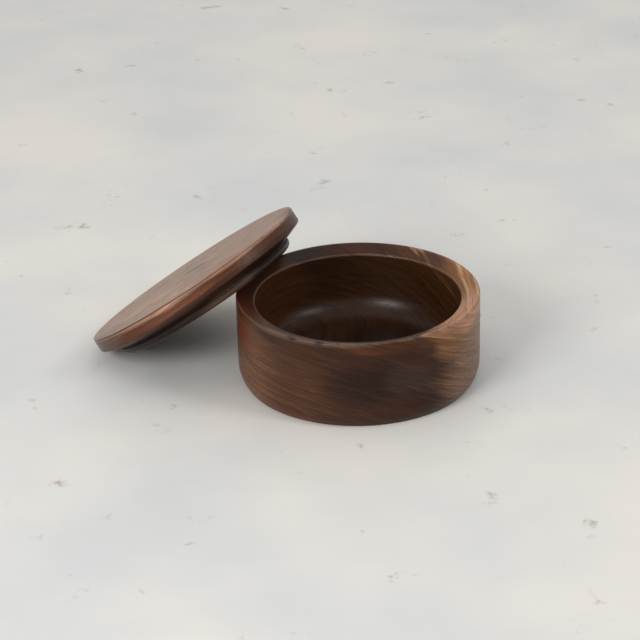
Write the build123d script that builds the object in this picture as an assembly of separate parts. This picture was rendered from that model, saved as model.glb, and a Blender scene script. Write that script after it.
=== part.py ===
from build123d import *
import math
import os

# Small turned wooden bowl with a lift-off lid that leans against it.
# Millimetres. The origin is the centre of the bowl's base, +Z is up, and the lid leans on the
# bowl's -X side. Both pieces are turned on a lathe, so each is one outline revolved about its axis.

# Bowl
rim_radius = 50.0          # outer wall
bowl_height = 37.8         # base to the outer edge of the rim
mouth_radius = 42.3        # straight inner wall
bevel_fall = 3.0           # how far the rim slopes down from its outer edge to the mouth
floor_thickness = 7.5
cove_radius = 10.0         # round corner between inner wall and floor
foot_inset = 2.8           # how far the wall curves in at the base
foot_curve_height = 8.0

# Lid
edge_thickness = 6.3       # straight outer edge of the disc
spigot_clearance = 0.5     # radial room in the mouth
spigot_depth = 3.2         # from the root of the bevelled shoulder to the flat end
relief_width = 0.5         # groove between shoulder and spigot
relief_depth = 1.0
hollow_depth = 1.3         # shallow recess turned into the underside
spigot_ring_width = 7.0    # ring left round that recess

# Sharp corners that the maker broke with a narrow chamfer
rim_chamfer = 0.5
mouth_chamfer = 0.5
foot_chamfer = 0.7
lid_chamfer = 0.5
spigot_chamfer = 1.2       # wider, to lead the spigot into the mouth

# How the lid leans
lean_angle = 35.0          # between the lid and the table, in degrees
rest_gap = 0.3             # between the rim and the underside that rests on it

# Sizes that follow from the ones above
lid_radius = rim_radius
bevel_slope = bevel_fall / (rim_radius - mouth_radius)
spigot_radius = mouth_radius - spigot_clearance
relief_radius = spigot_radius - relief_depth
shoulder_end_depth = edge_thickness + bevel_slope * (lid_radius - relief_radius)
spigot_end_depth = shoulder_end_depth + spigot_depth
hollow_radius = spigot_radius - spigot_ring_width
hollow_face_depth = spigot_end_depth - hollow_depth


def break_corners(outline, cut, corners):
    """Chamfers or fillets, by the cut function, the outline's corner at each (radius, height)."""
    for (radius, height), size in corners.items():
        corner = outline.vertices().sort_by_distance((radius, 0, height))[0]
        outline = cut(corner, size)
    return outline


def make_bowl():
    """Thick wall with a rim that slopes in to the mouth, and a cove round the flat floor."""
    foot = (rim_radius - foot_inset, 0)
    wall_bottom = (rim_radius, foot_curve_height)
    rim = (rim_radius, bowl_height)
    mouth = (mouth_radius, bowl_height - bevel_fall)
    cove = (mouth_radius, floor_thickness)
    with BuildLine(Plane.XZ) as edges:
        Polyline(rim, mouth, cove, (0, floor_thickness), (0, 0), foot)
        TangentArc(wall_bottom, foot, tangent=(0, -1))
        Line(wall_bottom, rim)
    outline = make_face(edges.line)
    outline = break_corners(outline, fillet, {cove: cove_radius})
    chamfers = {rim: rim_chamfer, mouth: mouth_chamfer, foot: foot_chamfer}
    return revolve(break_corners(outline, chamfer, chamfers), axis=Axis.Z)


def make_lid():
    """Flat disc over a bevelled shoulder and a spigot, level, with its top face at z = 0."""
    top_edge = (lid_radius, 0)
    low_edge = (lid_radius, -edge_thickness)
    spigot_end = (spigot_radius, -spigot_end_depth)
    with BuildLine(Plane.XZ) as edges:
        Polyline(
            (0, 0),
            top_edge,
            low_edge,
            (relief_radius, -shoulder_end_depth),
            (relief_radius, -shoulder_end_depth - relief_width),
            (spigot_radius, -shoulder_end_depth - relief_width),
            spigot_end,
            (hollow_radius, -spigot_end_depth),
            (hollow_radius, -hollow_face_depth),
            (0, -hollow_face_depth),
            close=True,
        )
    chamfers = {top_edge: lid_chamfer, low_edge: lid_chamfer, spigot_end: spigot_chamfer}
    return revolve(break_corners(make_face(edges.line), chamfer, chamfers), axis=Axis.Z)


def lean(lid, bowl):
    """Tilts the level lid, stands its low side on the table and rests its hollow on the rim."""
    tilted = Rot(0, -lean_angle, 0) * lid
    height = -tilted.bounding_box().min.Z
    # turned back by the same angle, the bowl's highest point is the one that the lid rests on
    rim_reach = (Rot(0, lean_angle, 0) * bowl).bounding_box().max.Z
    square_to_lid = rim_reach + rest_gap + hollow_face_depth
    angle = math.radians(lean_angle)
    away = (square_to_lid - height * math.cos(angle)) / math.sin(angle)
    return Pos(-away, 0, height) * tilted


bowl = make_bowl()
lid = lean(make_lid(), bowl)

os.makedirs("parts", exist_ok=True)
for name, piece in {"bowl": bowl, "lid": lid}.items():
    export_step(piece, f"parts/{name}.step")
    size = piece.bounding_box().size
    print(f"{name}: {size.X:.1f} x {size.Y:.1f} x {size.Z:.1f} mm, {piece.volume / 1000:.1f} cm3")

print(f"rim to lid: {bowl.distance_to(lid):.2f} mm, closed height: {bowl_height + edge_thickness:.1f} mm")
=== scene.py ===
# %% [markdown]
# A turned walnut bowl with its lid off
#
# This notebook dresses a small wooden bowl and its lift-off lid. Both real pieces come off a
# lathe, so each is one outline turned about an axis, and everything that makes them look like
# wood sits in the material: growth layers, fibres, pores and the soft shine of an oiled surface.
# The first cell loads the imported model, which fixes where every piece goes, and keeps its box.

import bpy
import numpy as np
from mathutils import Matrix, Vector


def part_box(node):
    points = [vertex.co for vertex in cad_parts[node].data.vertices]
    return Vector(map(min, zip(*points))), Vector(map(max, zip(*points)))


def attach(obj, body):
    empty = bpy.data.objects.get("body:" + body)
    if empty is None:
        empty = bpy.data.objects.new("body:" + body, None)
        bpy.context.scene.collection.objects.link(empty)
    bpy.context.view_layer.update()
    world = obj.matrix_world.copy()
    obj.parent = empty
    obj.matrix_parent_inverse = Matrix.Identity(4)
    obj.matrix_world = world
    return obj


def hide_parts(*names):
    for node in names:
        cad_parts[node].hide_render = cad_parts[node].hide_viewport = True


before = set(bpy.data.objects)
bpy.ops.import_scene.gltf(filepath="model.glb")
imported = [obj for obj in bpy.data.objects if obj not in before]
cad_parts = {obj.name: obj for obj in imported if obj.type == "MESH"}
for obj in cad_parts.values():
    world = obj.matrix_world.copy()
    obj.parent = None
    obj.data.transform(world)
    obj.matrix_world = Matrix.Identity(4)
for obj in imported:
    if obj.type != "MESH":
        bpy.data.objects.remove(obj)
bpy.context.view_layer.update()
MM = 0.001

# %% [markdown]
# The camera
#
# A photograph of round things tells where its camera stood: the rim, the mouth and the foot are
# circles seen as ellipses, and the lid's edge adds a tilted one. The values below were fitted to
# those outlines. Blender wants a matrix, whose columns are the camera's right, up and backward
# directions, and this builds it from a heading, a pitch and a small roll.

# %% Camera
CAMERA_PLACE = Vector((302.7, -737.5, 407.0)) * MM
CAMERA_HEADING = np.radians(23.45)
CAMERA_PITCH = np.radians(25.63)
CAMERA_ROLL = np.radians(-1.52)
FOCAL_PIXELS = 2147.0
PHOTO_PIXELS = 640.0
SENSOR_WIDTH = 36.0


def camera_axes(heading, pitch, roll):
    """Right, up and forward directions of a camera that looks along +Y, turned by a heading about
    Z, tipped down by a pitch and rolled about its own line of sight."""
    level_right = np.array([np.cos(heading), np.sin(heading), 0.0])
    level_ahead = np.array([-np.sin(heading), np.cos(heading), 0.0])
    forward = np.cos(pitch) * level_ahead - np.sin(pitch) * np.array([0.0, 0.0, 1.0])
    level_up = np.cross(level_right, forward)
    right = np.cos(roll) * level_right + np.sin(roll) * level_up
    up = np.cross(right, forward)
    return right, up, forward


def make_camera():
    """A pinhole camera whose square view is as wide as the photograph's."""
    right, up, forward = camera_axes(CAMERA_HEADING, CAMERA_PITCH, CAMERA_ROLL)
    data = bpy.data.cameras.new("camera")
    data.sensor_width = SENSOR_WIDTH
    data.lens = FOCAL_PIXELS / PHOTO_PIXELS * SENSOR_WIDTH
    camera = bpy.data.objects.new("camera", data)
    turn = Matrix(np.stack([right, up, -forward], axis=1).tolist())
    camera.matrix_world = Matrix.Translation(CAMERA_PLACE) @ turn.to_4x4()
    bpy.context.scene.collection.objects.link(camera)
    bpy.context.scene.camera = camera
    return camera


camera = make_camera()
camera_place = [round(value, 3) for value in camera.location]
print("camera", camera_place, "lens", round(camera.data.lens, 1))

# %% [markdown]
# Turned surfaces
#
# A lathe makes surfaces of revolution, so a piece is described by its outline: radius and height
# along a path from the middle of one side to the middle of the other. The CAD pieces have narrow
# chamfers; a hand that sands the real ones leaves small round arrises, and those catch the light.
# So the outline here is a list of corners, each with its own rounding radius, and a helper turns
# it into evenly dense points. Two numpy arrays then make the whole surface at once.

# %% Outline helper
ARC_STEPS = 4


def rounded_outline(corners, spacing):
    """Points along a path of straight runs whose corners are replaced by arcs.

    corners holds (radius, height, rounding). At a corner with directions a in and b out, the arc
    starts r*tan(t/2) before the corner, where t is the angle between a and b, and its centre is
    r away from both runs. Runs and arcs are divided into steps no longer than the spacing, and
    an arc has at least four."""
    places = [np.array(corner[:2], float) for corner in corners]
    path = [places[0]]
    for before, here, after, corner in zip(places, places[1:], places[2:], corners[1:-1]):
        arrive = (here - before) / np.linalg.norm(here - before)
        leave = (after - here) / np.linalg.norm(after - here)
        turn = np.arctan2(arrive[0] * leave[1] - arrive[1] * leave[0], arrive @ leave)
        radius = corner[2]
        start = here - arrive * radius * np.tan(abs(turn) / 2)
        side = np.sign(turn) * np.array([-arrive[1], arrive[0]])
        centre = start + side * radius
        steps = max(ARC_STEPS, int(np.ceil(radius * abs(turn) / spacing)))
        angles = np.linspace(0.0, turn, steps + 1)
        spoke = start - centre
        cosine, sine = np.cos(angles), np.sin(angles)
        across = cosine * spoke[0] - sine * spoke[1]
        up = sine * spoke[0] + cosine * spoke[1]
        path.extend(centre + np.stack([across, up], axis=-1))
    path.append(places[-1])
    dense = [path[0]]
    for previous, point in zip(path, path[1:]):
        pieces = max(1, int(np.ceil(np.linalg.norm(point - previous) / spacing)))
        for step in range(1, pieces + 1):
            dense.append(previous + (point - previous) * step / pieces)
    return np.array(dense)


# %% [markdown]
# The two outlines
#
# Sizes are in millimetres, as a turner would read them off calipers. The bowl's outline runs from
# the middle of the base out, up the wall, over the bevelled rim, down inside and back to the
# middle of the floor. The lid's runs from the middle of its top out and back under. The lid's
# shoulder has the slope of the rim's bevel, and its spigot is a little narrower than the mouth.

# %% Outlines
RIM_RADIUS = 50.0
BOWL_HEIGHT = 37.8
MOUTH_RADIUS = 42.3
BEVEL_FALL = 3.0
BEVEL_SLOPE = BEVEL_FALL / (RIM_RADIUS - MOUTH_RADIUS)
FLOOR_THICKNESS = 7.5
COVE_RADIUS = 10.0
FOOT_INSET = 2.8
FOOT_CURVE = 8.0
EDGE_THICKNESS = 6.3
SPIGOT_CLEARANCE = 0.5
SPIGOT_DEPTH = 3.2
SPIGOT_RING_WIDTH = 7.0
RELIEF_WIDTH = 0.5
RELIEF_DEPTH = 1.0
HOLLOW_DEPTH = 1.3
SPIGOT_RADIUS = MOUTH_RADIUS - SPIGOT_CLEARANCE
RELIEF_RADIUS = SPIGOT_RADIUS - RELIEF_DEPTH
SHOULDER_END = EDGE_THICKNESS + BEVEL_SLOPE * (RIM_RADIUS - RELIEF_RADIUS)
SPIGOT_TOP = SHOULDER_END + RELIEF_WIDTH
SPIGOT_END = SHOULDER_END + SPIGOT_DEPTH
HOLLOW_RADIUS = SPIGOT_RADIUS - SPIGOT_RING_WIDTH
HOLLOW_FACE = SPIGOT_END - HOLLOW_DEPTH
LEAN = np.radians(35.0)
OUTLINE_STEP = 1.0


def foot_curve(steps=7):
    """Points of the arc that leaves the straight wall and curves in to the base: for an inset i
    over a height h, its radius is (h*h + i*i) / 2i and its centre is level with its top."""
    radius = (FOOT_CURVE**2 + FOOT_INSET**2) / (2 * FOOT_INSET)
    angles = np.linspace(np.arcsin(FOOT_CURVE / radius), 0.0, steps)
    across = RIM_RADIUS - radius * (1 - np.cos(angles))
    return list(zip(across, FOOT_CURVE - radius * np.sin(angles)))


def bowl_corners():
    """Corners of the bowl's outline as (radius, height, rounding)."""
    foot = foot_curve()
    curve = [(across, height, 0.3) for across, height in foot[1:]]
    return [
        (0.0, 0.0, 0.0),
        (*foot[0], 0.8),
        *curve,
        (RIM_RADIUS, BOWL_HEIGHT, 0.8),
        (MOUTH_RADIUS, BOWL_HEIGHT - BEVEL_FALL, 0.7),
        (MOUTH_RADIUS, FLOOR_THICKNESS, COVE_RADIUS),
        (0.0, FLOOR_THICKNESS, 0.0),
    ]


def lid_corners():
    """Corners of the lid's outline as (radius, height, rounding), its top face at height 0."""
    return [
        (0.0, 0.0, 0.0),
        (RIM_RADIUS, 0.0, 0.7),
        (RIM_RADIUS, -EDGE_THICKNESS, 0.7),
        (RELIEF_RADIUS, -SHOULDER_END, 0.1),
        (RELIEF_RADIUS, -SPIGOT_TOP, 0.1),
        (SPIGOT_RADIUS, -SPIGOT_TOP, 0.25),
        (SPIGOT_RADIUS, -SPIGOT_END, 1.9),
        (HOLLOW_RADIUS, -SPIGOT_END, 0.4),
        (HOLLOW_RADIUS, -HOLLOW_FACE, 0.3),
        (0.0, -HOLLOW_FACE, 0.0),
    ]


bowl_outline = rounded_outline(bowl_corners(), OUTLINE_STEP)
lid_outline = rounded_outline(lid_corners(), OUTLINE_STEP)
print("outline points: bowl", len(bowl_outline), "lid", len(lid_outline))

# %% [markdown]
# From outline to mesh
#
# Turning an outline gives a grid: one parameter runs along the outline and the other round the
# axis. The first and last rings sit on the axis, so each is one point with a fan of triangles.

# %% Turning
AROUND = 360


def turned_mesh(name, outline, outward):
    """Mesh of an outline turned about Z. Point (i, j) is (r_i cos a_j, r_i sin a_j, z_i) with
    a_j = 2 pi j / n. outward is 1 if the outline climbs on the outside, and -1 if it descends."""
    angles = np.arange(AROUND) * 2 * np.pi / AROUND
    rings = outline[1:-1]
    radius = rings[:, :1]
    height = np.broadcast_to(rings[:, 1:], (len(rings), AROUND))
    grid = np.stack([radius * np.cos(angles), radius * np.sin(angles), height], axis=-1)
    poles = np.array([[0.0, 0.0, outline[0, 1]], [0.0, 0.0, outline[-1, 1]]])
    points = np.concatenate([grid.reshape(-1, 3), poles]) * MM
    here = np.arange(AROUND)
    ahead = np.roll(here, -1)
    row = np.arange(len(rings) - 1)[:, None] * AROUND
    quads = np.stack([row + here, row + ahead, row + ahead + AROUND, row + here + AROUND], -1)
    first, last = len(points) - 2, len(points) - 1
    bottom = (len(rings) - 1) * AROUND
    start_fan = np.stack([ahead, here, np.full(AROUND, first)], -1)
    end_fan = np.stack([bottom + here, bottom + ahead, np.full(AROUND, last)], -1)
    faces = [*quads.reshape(-1, 4)[:, ::outward], *start_fan[:, ::outward], *end_fan[:, ::outward]]
    mesh = bpy.data.meshes.new(name)
    mesh.from_pydata(points.tolist(), [], [face.tolist() for face in faces])
    mesh.polygons.foreach_set("use_smooth", [True] * len(mesh.polygons))
    mesh.update()
    return mesh


def add_piece(name, mesh):
    """Links a mesh as an object at the origin."""
    piece = bpy.data.objects.new(name, mesh)
    bpy.context.scene.collection.objects.link(piece)
    print(name, "has", len(mesh.polygons), "faces")
    return piece


# %% [markdown]
# Wear on the edges
#
# Use leaves small dents where two wooden pieces knock together. They are pressed into the mesh, so
# that they bend the highlights along the edge as real dents do. A dent fades out over its radius.

# %% Dents
RIM_DENTS = [
    (3.6, -49.6, 37.6, 1.3, 0.35),
    (-8.3, -49.3, 37.6, 1.3, 0.3),
    (38.0, -32.4, 37.6, 1.1, 0.25),
]
LID_DENTS = [
    (15.1, -47.7, 0.0, 1.6, 0.3),
    (22.4, -44.7, 0.0, 1.3, 0.3),
    (-1.3, -50.0, 0.0, 1.4, 0.25),
]


def press_dents(mesh, dents):
    """Moves each vertex p towards the axis and down by depth * exp(-(|p - c| / r)**2) / sqrt(2),
    for every dent (c_x, c_y, c_z, r, depth) in millimetres."""
    points = np.empty(len(mesh.vertices) * 3)
    mesh.vertices.foreach_get("co", points)
    points = points.reshape(-1, 3) / MM
    for *centre, reach, depth in dents:
        gap = np.linalg.norm(points - np.array(centre), axis=1)
        move = depth * np.exp(-((gap / reach) ** 2)) / np.sqrt(2)
        inward = np.array([-centre[0], -centre[1]]) / np.hypot(centre[0], centre[1])
        points[:, :2] += move[:, None] * inward
        points[:, 2] -= move
    mesh.vertices.foreach_set("co", (points * MM).ravel())
    mesh.update()


# %% [markdown]
# The bowl
#
# The turned bowl already stands where the CAD bowl stands, so it only has to replace it.

# %% Bowl
bowl = add_piece("walnut_bowl", turned_mesh("walnut_bowl", bowl_outline, 1))
press_dents(bowl.data, RIM_DENTS)
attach(bowl, "bowl")
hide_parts("bowl")

# %% [markdown]
# The lid
#
# The lid leans at 35 degrees with its low side on the table. Its mesh is turned level, tipped
# about Y and moved to the CAD lid's place: the box of the CAD node says where its outer circle is,
# because the highest point of that tilted circle is at the box's top.

# %% Lid
LID_CHAMFER = 0.5


def lid_placement():
    """Matrix from the level lid to the leaning one, in metres, from the CAD lid's box: its lowest
    x and its highest z are both on the chamfered top edge, at (-R, -c) and (R - c, 0) on the
    level lid."""
    low, high = (np.array(corner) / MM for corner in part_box("lid"))
    across = low[0] + RIM_RADIUS * np.cos(LEAN) - LID_CHAMFER * np.sin(LEAN)
    rise = high[2] - (RIM_RADIUS - LID_CHAMFER) * np.sin(LEAN)
    return Matrix.Translation(Vector((across, 0.0, rise)) * MM) @ Matrix.Rotation(-LEAN, 4, "Y")


lid = add_piece("walnut_lid", turned_mesh("walnut_lid", lid_outline, -1))
press_dents(lid.data, LID_DENTS)
lid.data.transform(lid_placement())
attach(lid, "lid")
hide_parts("lid")

# %% [markdown]
# Helpers for materials
#
# Colours are read off as sRGB hex values, and the shader wants linear light, so one function turns
# them. Another adds a node with its settings and links in one line, which keeps a material
# readable from its coordinates to its shader. Whatever is laid over a colour, be it dirt, wear, a
# fleck, painted shade or a painted highlight, comes in along a smooth step of some value, so that
# is a function too.

# %% Material helpers
def linear(hex_colour):
    """RGBA in linear light of an sRGB hex colour: c / 12.92 up to 0.04045, and above that
    ((c + 0.055) / 1.055) ** 2.4."""
    parts = np.array([int(hex_colour[i : i + 2], 16) for i in (1, 3, 5)]) / 255.0
    light = np.where(parts <= 0.04045, parts / 12.92, ((parts + 0.055) / 1.055) ** 2.4)
    return (*light.tolist(), 1.0)


def add(tree, kind, inputs=None, **settings):
    """Adds a node and returns it. Inputs are values or sockets, keyed by name or number."""
    node = tree.nodes.new("ShaderNode" + kind)
    for name, value in settings.items():
        setattr(node, name, value)
    for key, value in (inputs or {}).items():
        if isinstance(value, bpy.types.NodeSocket):
            tree.links.new(value, node.inputs[key])
        else:
            node.inputs[key].default_value = value
    return node


def new_material(name):
    """A material with its node tree and its shader."""
    material = bpy.data.materials.new(name)
    material.use_nodes = True
    return material, material.node_tree, material.node_tree.nodes["Principled BSDF"]


def lay_over(tree, colour, hex_colour, value, limits, strength):
    """Lays a second colour over the first: none of it where the value is at the first limit, and
    the full strength of it at the second."""
    step = {"Value": value, "From Min": limits[0], "From Max": limits[1], "To Max": strength}
    amount = add(tree, "MapRange", step, interpolation_type="SMOOTHSTEP").outputs[0]
    layers = {0: amount, 6: colour, 7: linear(hex_colour)}
    return add(tree, "Mix", layers, data_type="RGBA").outputs[2]


# %% [markdown]
# Where the wood lay in the log
#
# Grain is a property of the block, not of the surface: the growth rings are cylinders about the
# pith, and the fibres run along it. Each piece therefore gets a log frame, with the pith as its Y
# axis. In the bowl the pith runs away from the viewer, so the front wall shows the rings end-on as
# slanting arcs. In the lid, a flat board, the rings lie almost level with the faces. The second
# value of each log is the distance from the pith, in millimetres, that its colours count from.

# %% Log frames
def log_frame(fibre, pith):
    """Matrix from millimetres on the turned piece to the log: Y along the fibres, Z from the pith
    towards the piece, with the origin at a point of the pith."""
    along = fibre.normalized()
    across = along.cross(Vector((0.0, 0.0, 1.0))).normalized()
    out = across.cross(along)
    turn = Matrix((across, along, out)).to_4x4()
    return turn @ Matrix.Translation(-pith)


BOWL_FIBRE = Vector((-0.49, 0.88, 0.06))
BOWL_PITH = Vector((-41.3, -17.9, -100.0))
BOWL_LOG = (log_frame(BOWL_FIBRE, BOWL_PITH), 100.0)
LID_FIBRE = Vector((0.95, 0.30, 0.04))
LID_PITH = Vector((0.0, -35.0, -170.0))
LID_LOG = (log_frame(LID_FIBRE, LID_PITH), 172.0)


def growth_coordinates(tree, turned, log):
    """Distance from the pith, and a vector of that distance, the arc round the pith, which is the
    angle times the log's own distance, and the length along the pith, all in millimetres."""
    frame_matrix, pith_distance = log
    to_log = {
        "Vector": turned,
        "Location": frame_matrix.translation,
        "Rotation": frame_matrix.to_euler(),
    }
    in_log = add(tree, "Mapping", to_log).outputs[0]
    spoke = add(tree, "VectorMath", {0: in_log, 1: (1.0, 0.0, 1.0)}, operation="MULTIPLY")
    distance = add(tree, "VectorMath", {0: spoke.outputs[0]}, operation="LENGTH").outputs["Value"]
    axes = add(tree, "SeparateXYZ", {0: in_log}).outputs
    angle = add(tree, "Math", {0: axes["X"], 1: axes["Z"]}, operation="ARCTAN2").outputs[0]
    arc = add(tree, "Math", {0: angle, 1: pith_distance}, operation="MULTIPLY").outputs[0]
    return distance, add(tree, "CombineXYZ", {0: distance, 1: arc, 2: axes["Y"]}).outputs[0]


print("colours count from", BOWL_LOG[1], "mm in the bowl and", LID_LOG[1], "mm in the lid")

# %% [markdown]
# Patterns drawn out by growth
#
# Whatever grows in a trunk is thin outwards, wider round it and longest along the fibres. So
# every pattern of the wood is noise on growth coordinates whose last two directions are squeezed,
# and its scale is a count of spots over a real length in millimetres. Real pores are 0.1 to
# 0.2 mm wide, too fine for this picture, so they are drawn about twice as coarse.

# %% Grain patterns
SWELLS_PER_MM = 3 / 50
FRAYS_PER_MM = 7 / 20
STREAKS_PER_MM = 11 / 10
PORES_PER_MM = 26 / 10


def grain_noise(tree, growth, per_mm, around, along, detail, roughness=0.5):
    """Noise with so many spots per millimetre outwards from the pith, and the shares around and
    along of that number round the pith and along the fibres."""
    squeezed = add(tree, "VectorMath", {0: growth, 1: (1.0, around, along)}, operation="MULTIPLY")
    pattern = {
        "Vector": squeezed.outputs[0],
        "Scale": per_mm,
        "Detail": detail,
        "Roughness": roughness,
    }
    return add(tree, "TexNoise", pattern).outputs[0]


# %% [markdown]
# Bands of colour
#
# The colour of walnut changes slowly outwards, in broad bands that follow the growth layers, so a
# colour ramp over the distance from the pith gives it. A trunk isn't a perfect cylinder, and the
# bands wander: the distance swells and frays by a few millimetres before the ramp reads it.

# %% Colour bands
SWELLING = 12.0
FRAYING = 7.0


def beyond_pith(tree, distance, swells, frays, pith_distance):
    """Distance from the pith, less the log's own distance, plus SWELLING * (swells - 0.5) and
    FRAYING * (frays - 0.5), because 0.5 is the mean of a noise."""
    for noise, reach in ((swells, SWELLING), (frays, FRAYING)):
        shifted = add(tree, "Math", {0: noise, 1: reach, 2: distance}, operation="MULTIPLY_ADD")
        distance = shifted.outputs[0]
    start = pith_distance + (SWELLING + FRAYING) / 2
    return add(tree, "Math", {0: distance, 1: start}, operation="SUBTRACT").outputs[0]


def band_colours(tree, beyond, bands):
    """Colour at a distance, from the (millimetres further out, colour) of each band."""
    first, last = bands[0][0], bands[-1][0]
    along_bands = {"Value": beyond, "From Min": first, "From Max": last}
    ramp = add(tree, "ValToRGB", {0: add(tree, "MapRange", along_bands).outputs[0]})
    stops = ramp.color_ramp.elements
    stops[0].color, stops[1].color = linear(bands[0][1]), linear(bands[-1][1])
    for place, hex_colour in bands[1:-1]:
        stops.new((place - first) / (last - first)).color = linear(hex_colour)
    return ramp.outputs[0]


# %% [markdown]
# Patches and painted arris highlights
#
# A block also has patches of its own, use adds rubbed and dirty spots, and a few patches are
# painted shade, painted sheen and painted reflection. Each is an ellipsoid on the turned piece,
# which is easy to place and needs no picture. A painted highlight runs all round an arris, so
# there the measure is the distance from one point of the outline. Noise frays both borders.

# %% Patches and painted arris highlights
MARK_BORDER = (1.25, 0.45)
HIGHLIGHT_CORE = 0.3
UNEVEN = 0.15


def lathe_coordinates(tree, turned):
    """Radius from the lathe's axis, and a vector of that radius and the height along the axis."""
    across = add(tree, "VectorMath", {0: turned, 1: (1.0, 1.0, 0.0)}, operation="MULTIPLY")
    radius = add(tree, "VectorMath", {0: across.outputs[0]}, operation="LENGTH").outputs["Value"]
    height = add(tree, "SeparateXYZ", {0: turned}).outputs["Z"]
    return radius, add(tree, "CombineXYZ", {0: radius, 1: height}).outputs[0]


def paint_mark(tree, turned, colour, uneven, mark):
    """Lays a colour over an ellipsoid. It comes in between the border's two values of the length
    of (p - centre) / radii, plus the uneven value."""
    centre, radii, hex_colour, strength = mark
    scale = [1.0 / radius for radius in radii]
    shift = [-middle * factor for middle, factor in zip(centre, scale)]
    near = add(tree, "Mapping", {"Vector": turned, "Location": shift, "Scale": scale}).outputs[0]
    gap = add(tree, "VectorMath", {0: near}, operation="LENGTH").outputs["Value"]
    frayed = add(tree, "Math", {0: gap, 1: uneven}, operation="ADD").outputs[0]
    return lay_over(tree, colour, hex_colour, frayed, MARK_BORDER, strength)


def paint_arris_highlight(tree, lathe_place, colour, uneven, edge):
    """Lays a painted highlight round an arris, within a reach of it. The measure is the distance
    from the arris plus the uneven value times the reach."""
    radius, height, reach, hex_colour, strength = edge
    arris = {0: lathe_place, 1: (radius, height, 0.0)}
    gap = add(tree, "VectorMath", arris, operation="DISTANCE").outputs["Value"]
    frayed = add(tree, "Math", {0: uneven, 1: reach, 2: gap}, operation="MULTIPLY_ADD").outputs[0]
    return lay_over(tree, colour, hex_colour, frayed, (reach, reach * HIGHLIGHT_CORE), strength)


# %% [markdown]
# Year lines
#
# Each year's growth starts pale and open and ends in a thin dark line. The remainder of distance
# over a year's growth is the time of year, and like every other thing that darkens the wood
# without changing its hue it gives a factor. The factors are multiplied into one tone.

# %% Tone
YEAR_GROWTH = 4.2


def season_of(tree, beyond):
    """Time of year, from 0 in spring to 1 in winter: the fraction of distance over growth."""
    years = add(tree, "Math", {0: beyond, 1: YEAR_GROWTH}, operation="DIVIDE").outputs[0]
    return add(tree, "Math", {0: years}, operation="FRACT").outputs[0]


def tone_of(tree, changes):
    """Product of one factor for each change (value, limits, factors), which goes from the first
    factor to the second, along a smooth step, as the value goes from limit to limit."""
    tone = 1.0
    for value, limits, factors in changes:
        step = {"Value": value, "From Min": limits[0], "From Max": limits[1]}
        step.update({"To Min": factors[0], "To Max": factors[1]})
        factor = add(tree, "MapRange", step, interpolation_type="SMOOTHSTEP").outputs[0]
        tone = add(tree, "Math", {0: tone, 1: factor}, operation="MULTIPLY").outputs[0]
    return tone


# %% [markdown]
# Walnut, turned, sanded and oiled
#
# American walnut is chocolate brown with grey, purple and reddish bands, a pale sapwood, and long
# open pores. It is turned on the lathe, sanded with the piece spinning, and wiped with oil, which
# deepens the colour and leaves a satin shine. The material puts the cells above together: colour
# from the bands, the patches, painted shade inside the bowl and painted highlights on the arrises,
# tone from years, streaks, pores and sanding rings, and pores that are also duller and deeper than
# the wood round them.

# %% Walnut
# painted shade in the hollow of the bowl, laid on inward of the mouth
INSIDE_SHADE_COLOUR = "#2E1B0C"
INSIDE_SHADE_LIMITS = (MOUTH_RADIUS + 0.4, MOUTH_RADIUS)
NOISE_LIMITS = (0.3, 0.7)
PORE_LIMITS = (0.6, 0.68)
SANDING_RINGS_PER_MM = 3 / 2
OIL_ROUGHNESS = 0.34
PORE_ROUGHNESS = 0.2
OIL_SPECULAR = 0.2
RIDGE_HEIGHT = 0.05
PORE_DEPTH = 0.8


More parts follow.
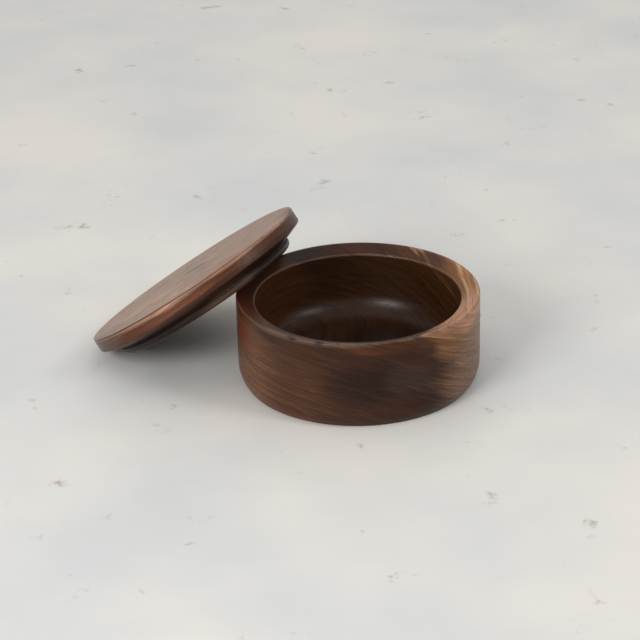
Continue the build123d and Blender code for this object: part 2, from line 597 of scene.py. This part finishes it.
def walnut(name, from_scene, log, bands, marks, arris_highlights, contrast, inside_shade=0.0):
    """Oiled walnut. from_scene turns a place in the scene into one on the level, turned piece.
    contrast is how much the streaks stand out, and the last argument is how far painted shade
    darkens the inside."""
    material, tree, shader = new_material(name)
    to_turned = {
        "Vector": add(tree, "TexCoord").outputs["Object"],
        "Location": from_scene.translation / MM,
        "Rotation": from_scene.to_euler(),
        "Scale": (1 / MM, 1 / MM, 1 / MM),
    }
    turned = add(tree, "Mapping", to_turned).outputs[0]
    radius, lathe_place = lathe_coordinates(tree, turned)
    distance, growth = growth_coordinates(tree, turned, log)
    swells = grain_noise(tree, growth, SWELLS_PER_MM, 0.35, 0.12, detail=3.0, roughness=0.6)
    frays = grain_noise(tree, growth, FRAYS_PER_MM, 0.12, 0.03, detail=3.0, roughness=0.65)
    beyond = beyond_pith(tree, distance, swells, frays, log[1])

    # painted shade: the inside is darker than the bands make it, as the hollow of a bowl is shaded
    colour = band_colours(tree, beyond, bands)
    colour = lay_over(tree, colour, INSIDE_SHADE_COLOUR, radius, INSIDE_SHADE_LIMITS, inside_shade)

    # patches and painted arris highlights, with borders that follow the frays
    step = {"Value": frays, "From Min": NOISE_LIMITS[0], "From Max": NOISE_LIMITS[1]}
    step.update({"To Min": -UNEVEN, "To Max": UNEVEN})
    uneven = add(tree, "MapRange", step, interpolation_type="SMOOTHSTEP").outputs[0]
    for mark in marks:
        colour = paint_mark(tree, turned, colour, uneven, mark)
    for edge in arris_highlights:
        colour = paint_arris_highlight(tree, lathe_place, colour, uneven, edge)

    # pores cover the few places where a fine noise is high, and sanding leaves faint rings
    streaks = grain_noise(tree, growth, STREAKS_PER_MM, 0.1, 0.02, detail=4.0, roughness=0.6)
    fine = grain_noise(tree, growth, PORES_PER_MM, 0.8, 0.05, detail=1.0)
    step = {"Value": fine, "From Min": PORE_LIMITS[0], "From Max": PORE_LIMITS[1]}
    pores = add(tree, "MapRange", step, interpolation_type="SMOOTHSTEP").outputs[0]
    sanding = {"Vector": lathe_place, "Scale": SANDING_RINGS_PER_MM, "Detail": 2.0}
    rings = add(tree, "TexNoise", sanding).outputs[0]
    season = season_of(tree, beyond)
    changes = [
        (season, (0.0, 0.25), (1.3, 1.0)),
        (season, (0.5, 1.0), (1.0, 0.82)),
        (streaks, NOISE_LIMITS, (1.0 - contrast, 1.0 + contrast)),
        (pores, (0.0, 1.0), (1.0, 0.72)),
        (rings, (0.35, 0.65), (0.92, 1.08)),
    ]
    tone = tone_of(tree, changes)
    toned = add(tree, "VectorMath", {0: colour, "Scale": tone}, operation="SCALE").outputs[0]
    tree.links.new(toned, shader.inputs["Base Color"])

    # satin oil, duller where the pores drank it
    dulling = {0: pores, 1: PORE_ROUGHNESS, 2: OIL_ROUGHNESS}
    rough = add(tree, "Math", dulling, operation="MULTIPLY_ADD").outputs[0]
    tree.links.new(rough, shader.inputs["Roughness"])
    shader.inputs["Specular IOR Level"].default_value = OIL_SPECULAR

    # pores are hollows between the ridges that the sanding leaves
    relief = add(tree, "Math", {0: pores, 1: -PORE_DEPTH, 2: rings}, operation="MULTIPLY_ADD")
    ridges = {"Height": relief.outputs[0], "Strength": 0.5, "Distance": RIDGE_HEIGHT * MM}
    bump = add(tree, "Bump", ridges).outputs[0]
    tree.links.new(bump, shader.inputs["Normal"])
    return material


# %% [markdown]
# The bowl's own block
#
# Near the pith the wood is reddish and warm, then comes the dark heart with a grey tinge, an
# orange-brown band under the rim, and on the right the pale sapwood, which is why that side of the
# rim is tan. A patch is given by its centre, radii, colour and strength. The patch low in the
# middle is painted shade on the floor inside, and the last three darken the rim's dents. A painted
# arris highlight is given by the radius and height of its arris, its reach, colour and strength.

# %% Bowl walnut
BOWL_BANDS = [
    (-8.0, "#5A3220"),
    (2.0, "#56301E"),
    (10.0, "#3E281B"),
    (20.0, "#392014"),
    (28.0, "#2E190E"),
    (38.0, "#2E190D"),
    (47.0, "#341B0C"),
    (52.0, "#41250F"),
    (54.0, "#4A2C18"),
    (54.6, "#86623F"),
    (55.4, "#4E301B"),
    (59.0, "#5E3B1C"),
    (63.0, "#704722"),
    (64.0, "#A8825A"),
    (65.0, "#7C532B"),
    (71.0, "#A0744E"),
]
BOWL_MARKS = [
    ((-10.0, -49.0, 20.0), (23.0, 14.0, 17.0), "#4E301F", 0.6),
    ((-34.0, -38.0, 14.0), (21.0, 19.0, 27.0), "#62402B", 0.9),
    ((-36.9, -33.8, 26.0), (9.0, 10.0, 8.0), "#5E2A12", 0.7),
    ((-17.7, -46.8, 1.4), (22.0, 20.0, 3.5), "#573022", 0.6),
    ((20.0, -45.0, 19.0), (20.0, 12.0, 10.0), "#1E0F08", 0.6),
    ((10.0, -48.0, 31.0), (22.0, 12.0, 5.0), "#371D0E", 0.6),
    ((24.0, -44.0, 34.5), (16.0, 12.0, 2.2), "#4C2810", 0.6),
    ((36.0, -35.0, 20.0), (11.0, 11.0, 8.0), "#37281E", 0.6),
    ((54.0, 2.0, 13.0), (18.0, 30.0, 28.0), "#7C5C46", 0.78),
    ((-40.0, -28.0, 36.8), (12.0, 16.0, 3.0), "#45190A", 0.8),
    ((-25.8, 41.3, 36.5), (14.0, 9.0, 4.0), "#3E1C10", 0.7),
    ((-42.0, 4.0, 24.0), (15.0, 30.0, 16.0), "#4A2A16", 0.6),
    ((15.0, 40.0, 36.5), (9.0, 9.0, 5.0), "#3E2210", 0.8),
    ((47.0, -2.0, 36.0), (9.0, 26.0, 6.0), "#A8795A", 0.8),
    ((47.0, -18.0, 29.0), (9.0, 9.0, 7.0), "#77502F", 0.7),
    # painted shade on the floor inside the bowl, at the bottom of the hollow
    ((6.0, 8.0, 7.5), (26.0, 28.0, 12.0), "#1A0C05", 0.8),
    ((0.0, -48.0, 37.2), (36.0, 9.0, 1.6), "#624C3C", 0.5),
    # dark spots in the three dents of the rim
    ((3.6, -49.6, 37.3), (2.2, 2.2, 1.3), "#140A06", 1.0),
    ((-8.3, -49.3, 37.3), (2.4, 2.0, 1.2), "#140A06", 0.8),
    ((38.0, -32.4, 37.4), (1.3, 1.3, 0.9), "#140A06", 0.8),
]
# painted highlights along the mouth's arris and the rim's outer arris, where the rounded edges
# catch the light
BOWL_ARRIS_HIGHLIGHTS = [
    (42.4, 34.9, 0.9, "#8A6C54", 0.25),
    (49.8, 37.6, 0.9, "#7C6454", 0.25),
]
bowl_walnut = walnut(
    "bowl_walnut",
    Matrix.Identity(4),
    BOWL_LOG,
    BOWL_BANDS,
    BOWL_MARKS,
    BOWL_ARRIS_HIGHLIGHTS,
    contrast=0.2,
    # how far painted shade darkens the inside
    inside_shade=0.75,
)
bowl.data.materials.append(bowl_walnut)
print("bowl bands", len(BOWL_BANDS), "marks", len(BOWL_MARKS))

# %% [markdown]
# The lid's own block
#
# The lid comes from another board. Its edge is redder, and worn to a lighter pinkish brown along
# the front where the oil has rubbed off, with a dark hairline along its top. Patches and painted
# arris highlights are given as before. The first patch is far wider than the lid, and so it is a
# thin layer over the whole top face, partly the face's own paler tone and partly painted sheen.
# Two more are painted light: reflection on the spigot's right and shade on its front underneath.

# %% Lid walnut
WHOLE_FACE = 400.0
LID_BANDS = [
    (-17.0, "#2A1A10"),
    (-12.0, "#2C190E"),
    (-8.0, "#482818"),
    (-5.0, "#51301F"),
    (-2.0, "#5E3F2E"),
    (2.0, "#583B2B"),
    (6.0, "#523829"),
]
LID_MARKS = [
    # partly the top face's own paler tone, partly painted sheen of the light that grazes it
    ((0.0, 0.0, 0.0), (WHOLE_FACE, WHOLE_FACE, 1.1), "#8E6D58", 0.95),
    # painted reflection: a greyish lighter patch where the spigot's right side faces the bright
    # cloth
    ((31.0, -28.0, -12.0), (16.0, 14.0, 4.0), "#574236", 0.8),
    # painted shade: a dark patch on the front of the spigot and shoulder, under the leaning lid
    ((-4.0, -42.0, -12.0), (26.0, 10.0, 4.0), "#1C130E", 0.8),
    ((16.0, -46.0, -3.2), (24.0, 12.0, 2.6), "#68402C", 0.55),
    ((12.0, -48.0, -1.4), (27.0, 8.0, 0.9), "#926E5A", 0.8),
    ((14.0, -48.0, -1.6), (8.0, 6.0, 1.2), "#AC7E69", 0.5),
    ((-30.0, -40.0, -3.5), (17.0, 15.0, 6.0), "#50443A", 0.7),
    ((46.0, 20.0, -3.0), (9.0, 14.0, 5.0), "#38251A", 0.7),
    ((-2.0, 6.0, 0.0), (9.0, 5.0, 3.0), "#3C3026", 0.75),
    ((37.0, -25.0, 0.0), (18.0, 22.0, 2.0), "#93634A", 0.6),
    ((0.0, -46.0, -0.45), (60.0, 30.0, 0.22), "#120A06", 0.9),
]
# painted highlight along the rounded arris at the top of the lid's edge
LID_ARRIS_HIGHLIGHTS = [(49.8, -1.1, 0.6, "#A2836E", 0.3)]
lid_walnut = walnut(
    "lid_walnut",
    lid_placement().inverted(),
    LID_LOG,
    LID_BANDS,
    LID_MARKS,
    LID_ARRIS_HIGHLIGHTS,
    contrast=0.14,
)
lid.data.materials.append(lid_walnut)
print("lid bands", len(LID_BANDS), "marks", len(LID_MARKS))

# %% [markdown]
# The cloth
#
# The pieces stand on pale canvas, a plain surface that shows their shadows. It carries faint
# warm and grey clouds, and here and there a fleck of husk that the weaver left in.

# %% Cloth
CLOUDS_PER_METRE = 9.0
HUSKS_PER_METRE = 45.0


def canvas():
    """Unbleached cloth: matt, almost white, with soft clouds and sparse brown flecks."""
    material, tree, shader = new_material("canvas")
    place = add(tree, "TexCoord").outputs["Object"]
    clouds = {"Vector": place, "Scale": CLOUDS_PER_METRE, "Detail": 4.0}
    cloudy = add(tree, "TexNoise", clouds).outputs[0]
    colour = lay_over(tree, linear("#C8C9C8"), "#D8D4CD", cloudy, NOISE_LIMITS, 1.0)
    husks = {"Vector": place, "Scale": HUSKS_PER_METRE, "Detail": 5.0, "Roughness": 0.7}
    flecked = add(tree, "TexNoise", husks).outputs[0]
    colour = lay_over(tree, colour, "#8C7867", flecked, (0.62, 0.74), 0.6)
    tree.links.new(colour, shader.inputs["Base Color"])
    shader.inputs["Roughness"].default_value = 0.9
    shader.inputs["Specular IOR Level"].default_value = 0.1
    return material


def lay_cloth(reach=3.0):
    """One square of cloth at the height that the part stands on."""
    low, high = -reach, reach
    corners = [(low, low, 0.0), (high, low, 0.0), (high, high, 0.0), (low, high, 0.0)]
    mesh = bpy.data.meshes.new("cloth")
    mesh.from_pydata(corners, [], [(0, 1, 2, 3)])
    mesh.materials.append(canvas())
    add_piece("cloth", mesh)


lay_cloth()

# %% [markdown]
# Light
#
# The shadows are soft and short, so most of the light comes from a bright room, with a faint large
# box overhead and another behind, which gives the lid its sheen. Two smaller boxes, at the left
# front and at the right, are there for the cove inside the bowl: its curve turns both towards the
# viewer, as two soft glints. Places and sizes are in metres, and powers in watts.

# %% Light
def softbox(name, place, target, size, power):
    """A square area light aimed at a point."""
    data = bpy.data.lights.new(name, "AREA")
    data.size = size
    data.energy = power
    light = bpy.data.objects.new(name, data)
    turn = (Vector(target) - Vector(place)).to_track_quat("-Z", "Y").to_matrix()
    light.matrix_world = Matrix.Translation(place) @ turn.to_4x4()
    bpy.context.scene.collection.objects.link(light)


def room(strength):
    """Even light from all round."""
    world = bpy.data.worlds.new("room")
    world.use_nodes = True
    background = world.node_tree.nodes["Background"]
    background.inputs["Color"].default_value = linear("#FFFFFF")
    background.inputs["Strength"].default_value = strength
    bpy.context.scene.world = world


room(0.61)
softbox("overhead", (-0.3, -0.1, 1.2), (0.0, 0.0, 0.0), 1.0, 1.0)
softbox("left", (-0.3, -1.12, 0.62), (-0.03, 0.0, 0.0), 0.5, 10.5)
softbox("right", (1.0, -0.05, 0.8), (0.0, 0.0, 0.0), 0.32, 3.4)
softbox("back", (-0.35, 1.1, 0.75), (-0.03, 0.0, 0.0), 0.6, 1.8)
bpy.context.scene.view_settings.view_transform = "Standard"
print("lights", len(bpy.data.lights))
